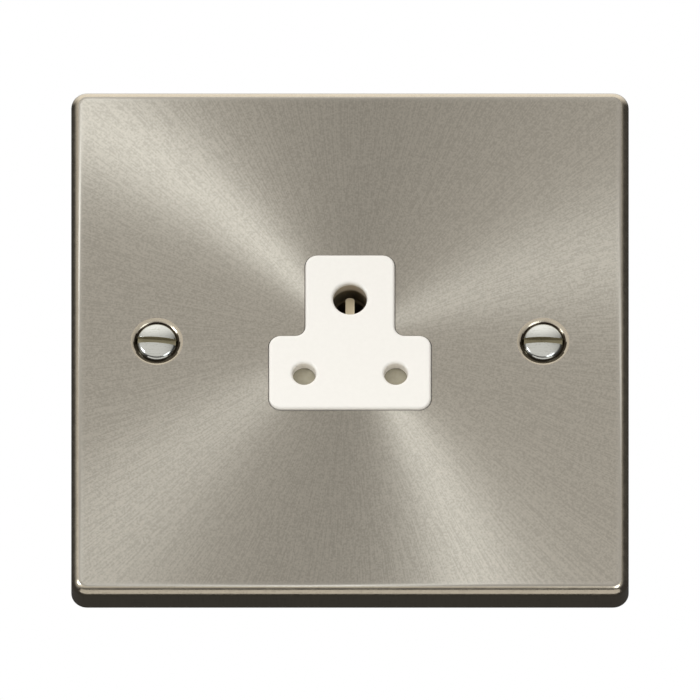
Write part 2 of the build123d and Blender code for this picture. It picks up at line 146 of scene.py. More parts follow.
class Graph:
    """Places and joins the nodes of one shader tree."""

    def __init__(self, tree: bpy.types.NodeTree) -> None:
        """Keeps the tree that the nodes go into."""
        self.tree = tree

    def feed(self, socket: bpy.types.NodeSocket, value: Feed) -> None:
        """Joins an output to a socket, or sets the socket to a plain value.

        Args:
            socket: The input that takes the value.
            value: An output socket, a number or a tuple of numbers.
        """
        if isinstance(value, bpy.types.NodeSocket):
            self.tree.links.new(value, socket)
        else:
            socket.default_value = value

    def add(self, kind: str, feeds: dict | None = None, **settings: object) -> bpy.types.Node:
        """Adds a node.

        Args:
            kind: Blender's name of the node type.
            feeds: Values or outputs for its inputs, by name or number.
            settings: Properties of the node.

        Returns:
            The new node.
        """
        node = self.tree.nodes.new(kind)
        for key, value in settings.items():
            setattr(node, key, value)
        for key, value in (feeds or {}).items():
            self.feed(node.inputs[key], value)
        return node

    def maths(self, operation: str, *values: Feed) -> bpy.types.NodeSocket:
        """A number worked out from others.

        Args:
            operation: The sum to do.
            values: Numbers or outputs.

        Returns:
            The result's socket.
        """
        return self.add("ShaderNodeMath", dict(enumerate(values)), operation=operation).outputs[0]

    def vector(self, operation: str, *values: Feed) -> bpy.types.NodeSocket:
        """A vector worked out from others.

        Args:
            operation: The sum to do.
            values: Vectors or outputs; the last is a number for SCALE.

        Returns:
            The result's socket.
        """
        node = self.add("ShaderNodeVectorMath", operation=operation)
        # A Vector Math node takes the number for SCALE at input 3.
        places = [0, 3] if operation == "SCALE" else [0, 1, 2]
        for place, value in zip(places, values):
            self.feed(node.inputs[place], value)
        return node.outputs["Value" if operation in ("LENGTH", "DOT_PRODUCT") else "Vector"]

    def noise(self, vector: Feed, scale: Feed, detail: float = 2.0, rough: float = 0.5) -> bpy.types.Node:
        """A noise texture.

        Args:
            vector: Where it is read.
            scale: Lumps to a unit.
            detail: Finer layers on top.
            rough: Strength of the finer layers.

        Returns:
            The texture node.
        """
        feeds = {"Vector": vector, "Scale": scale, "Detail": detail, "Roughness": rough}
        return self.add("ShaderNodeTexNoise", feeds)

    def spread(
        self,
        value: Feed,
        span: Sequence[Feed],
        to: Sequence[Feed] = (0.0, 1.0),
    ) -> bpy.types.NodeSocket:
        """A number carried smoothly from one span to another.

        Args:
            value: The number.
            span: Its lowest and highest value.
            to: What those become.

        Returns:
            The result's socket.
        """
        feeds = {"Value": value, "From Min": span[0], "From Max": span[1]}
        feeds |= {"To Min": to[0], "To Max": to[1]}
        return self.add("ShaderNodeMapRange", feeds, interpolation_type="SMOOTHSTEP").outputs[0]

    def mix(self, factor: Feed, first: Feed, second: Feed) -> bpy.types.NodeSocket:
        """A colour between two.

        Args:
            factor: 0 gives the first colour and 1 the second.
            first: A colour or an output.
            second: A colour or an output.

        Returns:
            The colour's socket.
        """
        # A Mix node has its colours at inputs 6 and 7 and at output 2.
        feeds = {0: factor, 6: opaque(first), 7: opaque(second)}
        return self.add("ShaderNodeMix", feeds, data_type="RGBA").outputs[2]

    def bump(self, height: Feed, depth: float) -> bpy.types.NodeSocket:
        """A normal roughened by a height.

        Args:
            height: The height, from 0 to 1.
            depth: How deep that is, in metres.

        Returns:
            The normal's socket.
        """
        return self.add("ShaderNodeBump", {"Height": height, "Distance": depth}).outputs[0]

    def place(self) -> bpy.types.NodeSocket:
        """The place on the object, in metres."""
        return self.add("ShaderNodeTexCoord").outputs["Object"]

    def axis(self, vector: Feed, name: str) -> bpy.types.NodeSocket:
        """One of the three numbers of a vector."""
        return self.add("ShaderNodeSeparateXYZ", {0: vector}).outputs[name]

    def shine(self, path: bpy.types.Node) -> bpy.types.NodeSocket:
        """1 where a Light Path node says that metal or glass looks this way."""
        return self.maths("MAXIMUM", path.outputs["Is Glossy Ray"], path.outputs["Is Transmission Ray"])


def opaque(colour: Feed) -> Feed:
    """A colour with its alpha, if it is a plain one."""
    return (*colour, 1.0) if isinstance(colour, tuple) and len(colour) == 3 else colour


def group_tree(name: str, inputs: Sequence[str], outputs: Sequence[str]) -> bpy.types.NodeTree:
    """An empty shader group whose sockets are numbers, apart from Vector.

    Args:
        name: The group's name.
        inputs: Names of its inputs.
        outputs: Names of its outputs.

    Returns:
        The group.
    """
    tree = bpy.data.node_groups.new(name, "ShaderNodeTree")
    for way, names in (("INPUT", inputs), ("OUTPUT", outputs)):
        for socket in names:
            kind = "NodeSocketVector" if socket == "Vector" else "NodeSocketFloat"
            tree.interface.new_socket(socket, in_out=way, socket_type=kind)
    return tree


def grain_group() -> bpy.types.NodeTree:
    """Uneven lumps that shift a roughness, and their height.

    Returns:
        The group, with inputs Vector, Scale, Low and High, and outputs Level and Height.
    """
    name = "surface_grain"
    if name in bpy.data.node_groups:
        return bpy.data.node_groups[name]
    tree = group_tree(name, ("Vector", "Scale", "Low", "High"), ("Level", "Height"))
    graph = Graph(tree)
    entry = graph.add("NodeGroupInput").outputs
    lumps = graph.noise(entry["Vector"], entry["Scale"], detail=4.0, rough=LAYER_ROUGH).outputs[0]
    level = graph.spread(lumps, NOISE_SPAN, (entry["Low"], entry["High"]))
    graph.add("NodeGroupOutput", {"Level": level, "Height": lumps})
    return tree


def scuff_group() -> bpy.types.NodeTree:
    """Fine crossing scratches.

    Returns:
        The group, with inputs Vector and Scale, and outputs Height and Mark.
    """
    name = "fine_scuffs"
    if name in bpy.data.node_groups:
        return bpy.data.node_groups[name]
    tree = group_tree(name, ("Vector", "Scale"), ("Height", "Mark"))
    graph = Graph(tree)
    entry = graph.add("NodeGroupInput").outputs
    layers = []
    for turn, stretch in SCUFF_LAYERS:
        feeds = {"Vector": entry["Vector"], "Rotation": turn, "Scale": stretch}
        turned = graph.add("ShaderNodeMapping", feeds).outputs[0]
        layers.append(graph.noise(turned, entry["Scale"], rough=LAYER_ROUGH).outputs[0])
    height = graph.maths("MULTIPLY", *layers)
    mark = graph.spread(height, SCUFF_SPAN)
    graph.add("NodeGroupOutput", {"Height": height, "Mark": mark})
    return tree


@dataclass(frozen=True)
class Finish:
    """A surface that is drawn by nodes.

    Attributes:
        name: The material's name.
        base: Its main colour.
    """

    name: str
    base: Colour

    def material(self) -> bpy.types.Material:
        """The material, built on first use.

        Returns:
            The material.
        """
        if self.name in bpy.data.materials and bpy.data.materials[self.name].get("dressed"):
            return bpy.data.materials[self.name]
        made = bpy.data.materials.new(self.name)
        made["dressed"] = True
        made.use_nodes = True
        made.node_tree.nodes.clear()
        graph = Graph(made.node_tree)
        shader = graph.add("ShaderNodeBsdfPrincipled", self.looks(graph))
        graph.add("ShaderNodeOutputMaterial", {"Surface": shader.outputs[0]})
        return made

    def looks(self, graph: Graph) -> dict[str, Feed]:
        """Builds this finish's nodes.

        Args:
            graph: The material's tree.

        Returns:
            What goes into each input of the Principled BSDF.
        """
        raise NotImplementedError

    def grain(self, graph: Graph, scale: float, span: Point) -> bpy.types.Node:
        """Places the shared grain in this material.

        Args:
            graph: The material's tree.
            scale: Lumps to a metre.
            span: Lowest and highest level.

        Returns:
            The group's node.
        """
        feeds = {"Vector": graph.place(), "Scale": scale, "Low": span[0], "High": span[1]}
        return graph.add("ShaderNodeGroup", feeds, node_tree=grain_group())

    def scuffs(self, graph: Graph, scale: float) -> bpy.types.Node:
        """Places the shared scratches in this material.

        Args:
            graph: The material's tree.
            scale: Scratches to a metre.

        Returns:
            The group's node.
        """
        feeds = {"Vector": graph.place(), "Scale": scale}
        return graph.add("ShaderNodeGroup", feeds, node_tree=scuff_group())


@dataclass(frozen=True)
class RadialSatin(Finish):
    """Metal brushed outwards from the middle, so that lamps show as fans.

    Attributes:
        shade: Colour between the strokes.
        bright: Colour at the plate's edge, a painted highlight where the face turns into its roll.
        rough: Lowest and highest roughness.
        pull: How far the shine is drawn out across the strokes.
        counts: Strokes around the middle, in the fine and in the broad layer.
        stroke: Length of a fine stroke, in metres.
        rates: Strokes of each layer for one fine stroke, along a radius.
        detail: Finer layers on each layer.
        frost: Even grain between the strokes, to a metre.
        shares: How much of the tone the fine strokes, the broad strokes and the grain make.
        tone_span: Tones that become the two colours.
        stray: How far single strokes turn away, in radians.
        depth: Depth of the strokes, in metres.
        edge: How far out the painted highlight starts and is full, in metres.
        wander: Waves to a metre that the strokes follow, and how far.
    """

    shade: Colour
    bright: Colour
    rough: Point = (0.45, 0.51)
    pull: float = 0.96
    counts: Point = (230.0, 70.0)
    stroke: float = 0.0055
    rates: Point = (1.0, 0.5)
    detail: Point = (1.5, 2.0)
    frost: float = 3600.0
    shares: tuple[float, float, float] = (0.5, 0.06, 0.44)
    tone_span: Point = (0.38, 0.62)
    stray: float = 0.008
    depth: float = 0.6e-6
    edge: Point = (0.0412, 0.0427)
    wander: Point = (30.0, 0.04)

    def strokes(self, graph: Graph, flat: Feed, outward: Feed) -> list[bpy.types.NodeSocket]:
        """Two layers of strokes that run outwards.

        Args:
            graph: The material's tree.
            flat: The place on the face.
            outward: The direction from the middle.

        Returns:
            The fine and the broad layer.
        """
        waves, reach = self.wander
        drift = graph.noise(graph.place(), waves, detail=1.0).outputs["Color"]
        drift = graph.vector("SUBTRACT", drift, (MIDDLE, MIDDLE, MIDDLE))
        bent = graph.vector("ADD", outward, graph.vector("SCALE", drift, reach))
        bent = graph.vector("NORMALIZE", bent)
        along = graph.maths("DIVIDE", graph.vector("LENGTH", flat), self.stroke)
        layers = []
        for count, rate, detail in zip(self.counts, self.rates, self.detail):
            around = graph.vector("SCALE", bent, count)
            rise = graph.maths("MULTIPLY", along, rate)
            lift = graph.add("ShaderNodeCombineXYZ", {"Y": rise}).outputs[0]
            spot = graph.vector("ADD", around, lift)
            layers.append(graph.noise(spot, 1.0, detail, LAYER_ROUGH).outputs[0])
        return layers

    def looks(self, graph: Graph) -> dict[str, Feed]:
        """Strokes in colour, roughness, normal and tangent.

        Args:
            graph: The material's tree.

        Returns:
            What goes into each input of the Principled BSDF.
        """
        # The place as seen from the front, without its depth.
        flat = graph.vector("MULTIPLY", graph.place(), (1.0, 0.0, 1.0))
        outward = graph.vector("NORMALIZE", flat)
        fine, broad = self.strokes(graph, flat, outward)
        frost = graph.noise(graph.place(), self.frost, detail=1.0).outputs[0]
        parts = [graph.maths("MULTIPLY", *pair) for pair in zip((fine, broad, frost), self.shares)]
        tone = graph.maths("ADD", graph.maths("ADD", parts[0], parts[1]), parts[2])
        tone = graph.spread(tone, self.tone_span)
        sides = graph.vector("ABSOLUTE", flat)
        out = graph.maths("MAXIMUM", graph.axis(sides, "X"), graph.axis(sides, "Z"))
        # Towards the edge the colour turns brighter: a painted highlight at the start of the roll.
        edge_highlight = graph.spread(out, self.edge)
        brushed = graph.mix(tone, self.shade, self.base)
        around = graph.vector("CROSS_PRODUCT", (0.0, 1.0, 0.0), outward)
        stray = graph.maths("MULTIPLY", graph.maths("SUBTRACT", tone, MIDDLE), self.stray)
        tangent = graph.vector("ADD", around, graph.vector("SCALE", outward, stray))
        return {
            "Base Color": graph.mix(edge_highlight, brushed, self.bright),
            "Roughness": graph.spread(fine, NOISE_SPAN, self.rough),
            "Normal": graph.bump(fine, self.depth),
            "Tangent": graph.vector("NORMALIZE", tangent),
            "Metallic": 1.0,
            "Anisotropic": self.pull,
        }


@dataclass(frozen=True)
class PolishedMetal(Finish):
    """Bright metal with hairline scuffs.

    Attributes:
        worn: Colour in the scuffs.
        rough: Lowest and highest roughness.
        scuff: Scuffs to a metre.
        depth: Depth of the scuffs, in metres.
        pitch: Cloudy spots to a metre.
    """

    worn: Colour
    rough: Point = (0.1, 0.18)
    scuff: float = 5000.0
    depth: float = 6.0e-7
    pitch: float = 900.0

    def looks(self, graph: Graph) -> dict[str, Feed]:
        """Scuffs in colour and normal, and clouds in roughness.

        Args:
            graph: The material's tree.

        Returns:
            What goes into each input of the Principled BSDF.
        """
        scuffs = self.scuffs(graph, self.scuff)
        return {
            "Base Color": graph.mix(scuffs.outputs["Mark"], self.base, self.worn),
            "Roughness": self.grain(graph, self.pitch, self.rough).outputs["Level"],
            "Normal": graph.bump(scuffs.outputs["Height"], self.depth),
            "Metallic": 1.0,
        }


@dataclass(frozen=True)
class TarnishedMetal(Finish):
    """Turned or plated metal with cloudy patches.

    Attributes:
        cloud: Colour of the patches.
        rough: Lowest and highest roughness.
        patch: Patches to a metre.
        scuff: Tool marks to a metre.
        depth: Depth of the marks, in metres.
        metal: How bare the metal is.
        patch_span: Heights of the grain between which a patch starts.
    """

    cloud: Colour
    rough: Point = (0.22, 0.38)
    patch: float = 350.0
    scuff: float = 3500.0
    depth: float = 2.0e-6
    metal: float = 1.0
    patch_span: Point = (0.38, 0.66)

    def looks(self, graph: Graph) -> dict[str, Feed]:
        """Patches in colour and roughness, and marks in normal.

        Args:
            graph: The material's tree.

        Returns:
            What goes into each input of the Principled BSDF.
        """
        scuffs = self.scuffs(graph, self.scuff)
        grain = self.grain(graph, self.patch, self.rough)
        patch = graph.spread(grain.outputs["Height"], self.patch_span)
        return {
            "Base Color": graph.mix(patch, self.base, self.cloud),
            "Roughness": grain.outputs["Level"],
            "Normal": graph.bump(scuffs.outputs["Height"], self.depth),
            "Metallic": self.metal,
        }


@dataclass(frozen=True)
class DepthShadedTube(Finish):
    """A contact tube in its own colour at the mouth, darkened further in by painted shade.

    Attributes:
        inside: Colour further in, a painted shade.
        span: Depths between which the painted shade sets in, in metres.
        rough: Lowest and highest roughness.
        metal: How bare the metal is.
        pitch: Grain to a metre.
        depth: Depth of the grain, in metres.
    """

    inside: Colour
    span: Point = (-0.0031, -0.0023)
    rough: Point = (0.4, 0.55)
    metal: float = 0.5
    pitch: float = 1200.0
    depth: float = 2.0e-6

    def looks(self, graph: Graph) -> dict[str, Feed]:
        """Painted shade by depth in colour, and grain in roughness and normal.

        Args:
            graph: The material's tree.

        Returns:
            What goes into each input of the Principled BSDF.
        """
        grain = self.grain(graph, self.pitch, self.rough)
        depth_shade = graph.spread(graph.axis(graph.place(), "Y"), self.span)
        return {
            "Base Color": graph.mix(depth_shade, self.base, self.inside),
            "Roughness": grain.outputs["Level"],
            "Normal": graph.bump(grain.outputs["Height"], self.depth),
            "Metallic": self.metal,
        }


@dataclass(frozen=True)
class Moulding(Finish):
    """Moulded plastic with a faint grain.

    Attributes:
        shade: Second colour of the grain.
        rough: Lowest and highest roughness.
        pitch: Grain to a metre.
        depth: Depth of the grain, in metres.
        glow: Share of light that passes under the surface.
    """

    shade: Colour
    rough: Point = (0.28, 0.36)
    pitch: float = 1800.0
    depth: float = 3.0e-6
    glow: float = 0.0

    def looks(self, graph: Graph) -> dict[str, Feed]:
        """Grain in colour, roughness and normal.

        Args:
            graph: The material's tree.

        Returns:
            What goes into each input of the Principled BSDF.
        """
        grain = self.grain(graph, self.pitch, self.rough)
        tone = graph.spread(grain.outputs["Height"], NOISE_SPAN)
        return {
            "Base Color": graph.mix(tone, self.base, self.shade),
            "Roughness": grain.outputs["Level"],
            "Normal": graph.bump(grain.outputs["Height"], self.depth),
            "Subsurface Weight": self.glow,
            "Subsurface Scale": MM,
        }


@dataclass(frozen=True)
class PaintedLightMoulding(Moulding):
    """Moulded plastic painted paler above a height, as painted light on the shutter's finger.

    Attributes:
        pale: Colour of the painted light.
        rise: Heights between which the painted light starts, in metres.
    """

    pale: Colour = (0.78, 0.67, 0.47)
    rise: Point = (0.0, 0.003)

    def looks(self, graph: Graph) -> dict[str, Feed]:
        """The moulding's nodes, with height in its colour.

        Args:
            graph: The material's tree.

        Returns:
            What goes into each input of the Principled BSDF.
        """
        plain = super().looks(graph)
        # Paler above the rise: painted light on the finger in the earth hole.
        painted_light = graph.spread(graph.axis(graph.place(), "Z"), self.rise)
        return plain | {"Base Color": graph.mix(painted_light, plain["Base Color"], self.pale)}


SATIN = RadialSatin("satin_face", (0.522, 0.477, 0.4), (0.403, 0.367, 0.306), (0.54, 0.5, 0.43))
RIM = PolishedMetal("polished_rim", (0.48, 0.42, 0.325), (0.4, 0.35, 0.27), (0.18, 0.26))
PLATE_BACK = TarnishedMetal("plate_back", (0.52, 0.51, 0.49), (0.42, 0.41, 0.38), (0.34, 0.5))
# Near-black colour on the dimples' steep faces: painted shade under the screw heads.
SHADED_DIMPLE = PolishedMetal("dimple_painted_shade", (0.05, 0.041, 0.027), (0.04, 0.032, 0.021), (0.14, 0.22))
CHROME = PolishedMetal("screw_chrome", (0.52, 0.515, 0.47), (0.44, 0.435, 0.39), (0.1, 0.18))
# Dark brown on the faces in the screw slots: painted shade in the slots.
SLOT_SHADE = TarnishedMetal("slot_painted_shade", (0.275, 0.235, 0.14), (0.22, 0.185, 0.105), (0.5, 0.6), metal=0.3)
PLATED = TarnishedMetal("zinc_plate", (0.68, 0.67, 0.63), (0.56, 0.56, 0.58), (0.25, 0.4))
SPRING = TarnishedMetal("spring_wire", (0.46, 0.46, 0.48), (0.34, 0.34, 0.37), (0.24, 0.36))
BRASS = TarnishedMetal("turned_brass", (0.83, 0.63, 0.3), (0.66, 0.46, 0.19))
# Darker further into each tube: painted shade.
SLEEVE = DepthShadedTube("sleeve_depth_shade", (0.72, 0.63, 0.5), (0.2, 0.16, 0.1))
WHITE = Moulding("white_front", (0.93, 0.88, 0.8), (0.915, 0.865, 0.785))
# The shutter is painted paler at its finger, as painted light.
CREAM = PaintedLightMoulding("shutter_cream", (0.42, 0.38, 0.28), (0.385, 0.345, 0.25), (0.42, 0.5))
DARK = Moulding(
    "dark_phenolic", (0.028, 0.026, 0.025), (0.045, 0.04, 0.036), (0.36, 0.5), pitch=2600.0, depth=6.0e-6
)
NYLON = Moulding("natural_nylon", (0.83, 0.8, 0.7), (0.79, 0.75, 0.64), (0.4, 0.5), pitch=1500.0, glow=0.4)


def shift(bm: BMesh, verts: Sequence[BMVert], x: float, y: float, z: float) -> None:
    """Moves vertices."""
    bmesh.ops.translate(bm, verts=verts, vec=(x, y, z))


def new_verts(result: dict) -> list[BMVert]:
    """The vertices in what an operator gives back."""
    return [item for item in result["geom"] if isinstance(item, BMVert)]


def new_edges(result: dict) -> list[BMEdge]:
    """The edges in what an operator gives back."""
    return [item for item in result["geom"] if isinstance(item, BMEdge)]


def bevel(
    bm: BMesh,
    geom: Sequence[BMEdge | BMVert],
    size: float,
    segments: int,
    on: Rounding = Rounding.EDGES,
    clamp: bool = True,
) -> None:
    """Rounds edges or corners.

    Args:
        bm: The mesh.
        geom: The edges or vertices.
        size: How far the rounding reaches.
        segments: Faces across it.
        on: Whether these are edges or corners.
        clamp: Whether roundings that would meet are held apart.
    """
    bmesh.ops.bevel(
        bm,
        geom=geom,
        offset=size,
        offset_type="OFFSET",
        segments=segments,
        profile=0.5,
        affect=on.value,
        clamp_overlap=clamp,
        material=-1,
    )


def rounded_outline(bm: BMesh, corners: Sequence[Corner], depth: float) -> list[BMEdge]:
    """A closed outline with rounded corners, as seen from the front.

    Args:
        bm: The mesh.
        corners: Across, height and radius of each corner, in order.
        depth: Where it stands from front to back.

    Returns:
        The outline's edges.
    """
    before = set(bm.faces)
    verts = [bm.verts.new((x, depth, z)) for x, z, _ in corners]
    bm.faces.new(verts)
    for vert, (_, _, radius) in zip(verts, corners):
        bevel(bm, [vert], radius, CORNER_STEPS, Rounding.CORNERS, clamp=False)
    added = [face for face in bm.faces if face not in before]
    edges = [edge for face in added for edge in face.edges]
    bmesh.ops.delete(bm, geom=added, context="FACES_ONLY")
    return edges


def lathe(bm: BMesh, points: Sequence[Point], steps: int) -> None:
    """Turns a profile about the line that runs front to back through the origin.

    Args:
        bm: The mesh.
        points: Radius and depth of each point of the profile.
        steps: Faces around.
    """
    verts = [bm.verts.new((radius, depth, 0)) for radius, depth in points]
    edges = [bm.edges.new(pair) for pair in zip(verts, verts[1:])]
    bmesh.ops.spin(
        bm,
        geom=verts + edges,
        cent=(0, 0, 0),
        axis=AXIS_Y,
        dvec=(0, 0, 0),
        angle=math.tau,
        steps=steps,
        use_merge=True,
    )
    bmesh.ops.remove_doubles(bm, verts=bm.verts, dist=SNAP)


def merge_into(bm: BMesh, other: BMesh) -> None:
    """Adds another mesh to one.

    Args:
        bm: The mesh that grows.
        other: The mesh that goes into it, which is used up.
    """
    held = bpy.data.meshes.new("held")
    other.to_mesh(held)
    other.free()
    bm.from_mesh(held)
    bpy.data.meshes.remove(held)


def coil(
    bm: BMesh,
    loop: Sequence[BMEdge],
    axis: Vector,
    turns: float,
    pitch: float,
    steps: int,
) -> list[BMEdge]:
    """Winds a section about an axis through the origin.

    Args:
        bm: The mesh.
        loop: The section's edges.
        axis: The axis.
        turns: How many times round.
        pitch: How far along for each turn.
        steps: Faces to a turn.

    Returns:
        The edges of the last section.
    """
    count = round(turns * steps)
    verts = list({vert for edge in loop for vert in edge.verts})
    result = bmesh.ops.spin(
        bm,
        geom=verts + list(loop),
        cent=(0, 0, 0),
        axis=axis,
        dvec=axis * (pitch / steps),
        angle=math.tau * turns,
        steps=count,
        use_merge=False,
    )
    return [item for item in result["geom_last"] if isinstance(item, BMEdge)]


def as_piece(
    bm: BMesh,
    name: str,
    finishes: Sequence[Finish],
    nodes: Sequence[str],
    body: Body = Body.SOCKET,
    faces_out: bool = True,
) -> bpy.types.Object:
    """Makes a mesh in millimetres a piece of the scene, in place of its CAD nodes.

    Args:
        bm: The mesh, which is used up.
        name: The piece's name.
        finishes: Its finishes, in the order of the faces' material numbers.
        nodes: The CAD nodes that it replaces.
        body: The body that it moves with.
        faces_out: Whether its faces are turned outwards first.

    Returns:
        The piece.
    """
    if faces_out:
        bmesh.ops.recalc_face_normals(bm, faces=bm.faces)
    bmesh.ops.scale(bm, vec=(MM, MM, MM), verts=bm.verts)
    mesh = bpy.data.meshes.new(name)
    bm.to_mesh(mesh)
    bm.free()
    mesh.shade_smooth()
    mesh.set_sharp_from_angle(angle=SMOOTH_LIMIT)
    for finish in finishes:
        mesh.materials.append(finish.material())
    piece = bpy.data.objects.new(name, mesh)
    bpy.context.scene.collection.objects.link(piece)
    even = piece.modifiers.new("even_shading", "WEIGHTED_NORMAL")
    even.keep_sharp = True
    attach(piece, body.value)
    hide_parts(*nodes)
    return piece


def softened(node: str, size: float, segments: int = EDGE_STEPS) -> BMesh:
    """A copy of a CAD node, in millimetres, with its sharp edges rounded.

    Args:
        node: The node.
        size: How far the rounding reaches.
        segments: Faces across it.

    Returns:
        The mesh.
    """
    bm = bmesh.new()
    bm.from_mesh(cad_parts[node].data)
    bmesh.ops.scale(bm, vec=(1 / MM, 1 / MM, 1 / MM), verts=bm.verts)
    bmesh.ops.remove_doubles(bm, verts=bm.verts, dist=SNAP)
    bmesh.ops.dissolve_limit(
        bm,
        angle_limit=FLAT_LIMIT,
        verts=bm.verts,
        edges=bm.edges,
        use_dissolve_boundaries=False,
        delimit=set(),
    )
    sharp = [edge for edge in bm.edges if edge.calc_face_angle(0.0) > SHARP_LIMIT]
    bevel(bm, sharp, size, segments)
    return bm


def dress_node(node: str, finish: Finish) -> bpy.types.Object:
    """Gives a CAD node that stays its finish.

    Args:
        node: The node.
        finish: The finish.

    Returns:
        The node's object.
    """
    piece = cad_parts[node]
    piece.data.materials.clear()
    piece.data.materials.append(finish.material())
    return piece


@dataclass
class Faceplate:
    """The pressed plate with its T aperture and two dimples.

    Attributes:
        side: Width and height.
        depth: From the wall to the face.
        sheet: Thickness of the sheet.
        corner: Radius of the corners as seen from the front.
        roll: Radius of the edge.
        roll_steps: Faces across the edge's roll.
        satin_steps: How many of them are still brushed.
        foot: Half the width of the T's foot.
        head: Half the width of the T's head.
        top: Height of the T's top.
        step: Height of the T's shoulders.
        bottom: Height of the T's bottom.
        outer: Radius of the T's outer corners.
        inner: Radius of its inner corners.
        screw: How far out the screws stand.
        mouth: Radius of a dimple's mouth.
        hole: Radius of a dimple's hole.
        round_steps: Faces around a dimple.
        lip: Reach of the rounding at a dimple's mouth.
        lip_steps: Faces across that rounding.
        lip_room: Flat ring around a dimple, as a share of that reach.
        lip_lit: Slope up to which that rounding is polished where it looks down, in degrees, as painted
            light;
            steeper faces take the dark dimple colour, which is painted shade.
        lip_shaded: The same where it looks up, smaller, as painted shade.
    """

    side: float = 87.0
    depth: float = 5.4
    sheet: float = 1.0
    corner: float = 2.5
    roll: float = 1.6
    roll_steps: int = 16
    satin_steps: int = 3
    foot: float = 12.77
    head: float = 7.09
    top: float = 14.92
    step: float = 1.0
    bottom: float = -11.96
    outer: float = 2.02
    inner: float = 1.48
    screw: float = 30.15
    mouth: float = 3.5
    hole: float = 2.0
    round_steps: int = 72
    lip: float = 0.58
    lip_steps: int = 8
    lip_room: float = 1.5
    lip_lit: float = 26.0
    lip_shaded: float = 15.0

    def aperture(self) -> list[Corner]:
        """The T's corners.

        Returns:
            Across, height and radius of each, in order.
        """
        right = [
            (self.foot, self.bottom, self.outer),
            (self.foot, self.step, self.outer),
            (self.head, self.step, self.inner),
            (self.head, self.top, self.outer),
        ]
        return right + [(-x, z, radius) for x, z, radius in reversed(right)]

    def tray(self, bm: BMesh) -> list[BMEdge]:
        """The skirt and the rolled edge.

        Args:
            bm: The mesh.

        Returns:
            The edges around the flat face.
        """
        half = self.side / 2
        square = [(half, -half), (half, half), (-half, half), (-half, -half)]
        rim = rounded_outline(bm, [(x, z, self.corner) for x, z in square], -self.depth)
        face = bmesh.ops.contextual_create(bm, geom=rim)["faces"][0]
        shift(bm, new_verts(bmesh.ops.extrude_edge_only(bm, edges=rim)), 0, self.depth, 0)
        bevel(bm, list(face.edges), self.roll, self.roll_steps, clamp=False)
        flat = min(bm.faces, key=lambda item: item.calc_center_median().y)
        edges = list(flat.edges)
        bmesh.ops.delete(bm, geom=[flat], context="FACES_ONLY")
        return edges

    def dimple(self, bm: BMesh, x: float) -> list[BMEdge]:
        """A countersunk dimple for a screw.

        Args:
            bm: The mesh.
            x: How far across it stands.

        Returns:
            The edges around it in the flat face.
        """
        cup = bmesh.new()
        flat = self.mouth + self.lip_room * self.lip
        lathe(cup, [(flat, 0), (self.mouth, 0), (self.hole, self.mouth - self.hole)], self.round_steps)
        ring = [
            edge
            for edge in cup.edges
            if all(math.isclose(vert.co.xz.length, self.mouth, abs_tol=SNAP) for vert in edge.verts)
        ]
        bevel(cup, ring, self.lip, self.lip_steps, clamp=False)
        shift(cup, cup.verts, x, -self.depth, 0)
        before = set(bm.edges)
        merge_into(bm, cup)
        return [
            edge
            for edge in bm.edges
            if edge not in before
            and edge.is_boundary
            and all(vert.co.y < SNAP - self.depth for vert in edge.verts)
        ]

    def build(self) -> list[bpy.types.Object]:
        """Makes the plate.

        Returns:
            The piece.
        """
        bm = bmesh.new()
        loops = self.tray(bm)
        loops += self.dimple(bm, -self.screw) + self.dimple(bm, self.screw)
        loops += rounded_outline(bm, self.aperture(), -self.depth)
        bmesh.ops.triangle_fill(bm, edges=loops, use_beauty=True, use_dissolve=False, normal=-AXIS_Y)
        bmesh.ops.remove_doubles(bm, verts=bm.verts, dist=SNAP)
        bmesh.ops.recalc_face_normals(bm, faces=bm.faces)
        # The sheet is still open, so its largest front face tells whether it is inside out.
        front = min(bm.faces, key=lambda item: item.calc_center_median().y - item.calc_area() * SNAP)
        if front.normal.y > 0:
            bmesh.ops.reverse_faces(bm, faces=bm.faces)
        self.finish_faces(bm.faces)
        outside = list(bm.faces)
        bmesh.ops.solidify(bm, geom=outside, thickness=self.sheet)
        kept = set(outside)
        for face in bm.faces:
            if face not in kept:
                face.material_index = PlateFace.BACK
        piece = as_piece(bm, "satin_plate", [SATIN, RIM, PLATE_BACK, SHADED_DIMPLE], ["faceplate"])
        return [piece]

    def finish_faces(self, faces: Iterable[BMFace]) -> None:
        """Brushes the flat face and the start of its roll, and polishes the rest; steep dimple faces take a
        dark colour as painted shade, and dimple lips are polished further where they look down, as painted
        light.

        Args:
            faces: The outer faces.
        """
        turn = math.radians(90) * self.satin_steps / self.roll_steps
        limit = -self.depth + self.roll * (1 - math.cos(turn))
        for face in faces:
            middle = face.calc_center_median()
            beside = max(abs(abs(middle.x) - self.screw), abs(middle.z))
            sunk = beside < self.mouth + self.lip and middle.y > SNAP - self.depth
            # From 0 where the face looks up to 1 where it looks down; lips that look down are polished
            # further, as painted light, and those that look up stay darker, as painted shade.
            share = min(max(0.5 - face.normal.z / max(face.normal.xz.length, SNAP), 0.0), 1.0)
            bright = self.lip_shaded + (self.lip_lit - self.lip_shaded) * share
            steep = face.normal.y > -math.cos(math.radians(bright))
            if sunk:
                kind = PlateFace.SHADED_DIMPLE if steep else PlateFace.POLISHED
            else:
                kind = PlateFace.BRUSHED if middle.y < limit else PlateFace.POLISHED
            face.material_index = kind


@dataclass(frozen=True)
class Thread:
    """A screw thread.

    Attributes:
        crest: Radius over it.
        core: Radius under it.
        pitch: Length of one turn.
    """

    crest: float
    core: float
    pitch: float


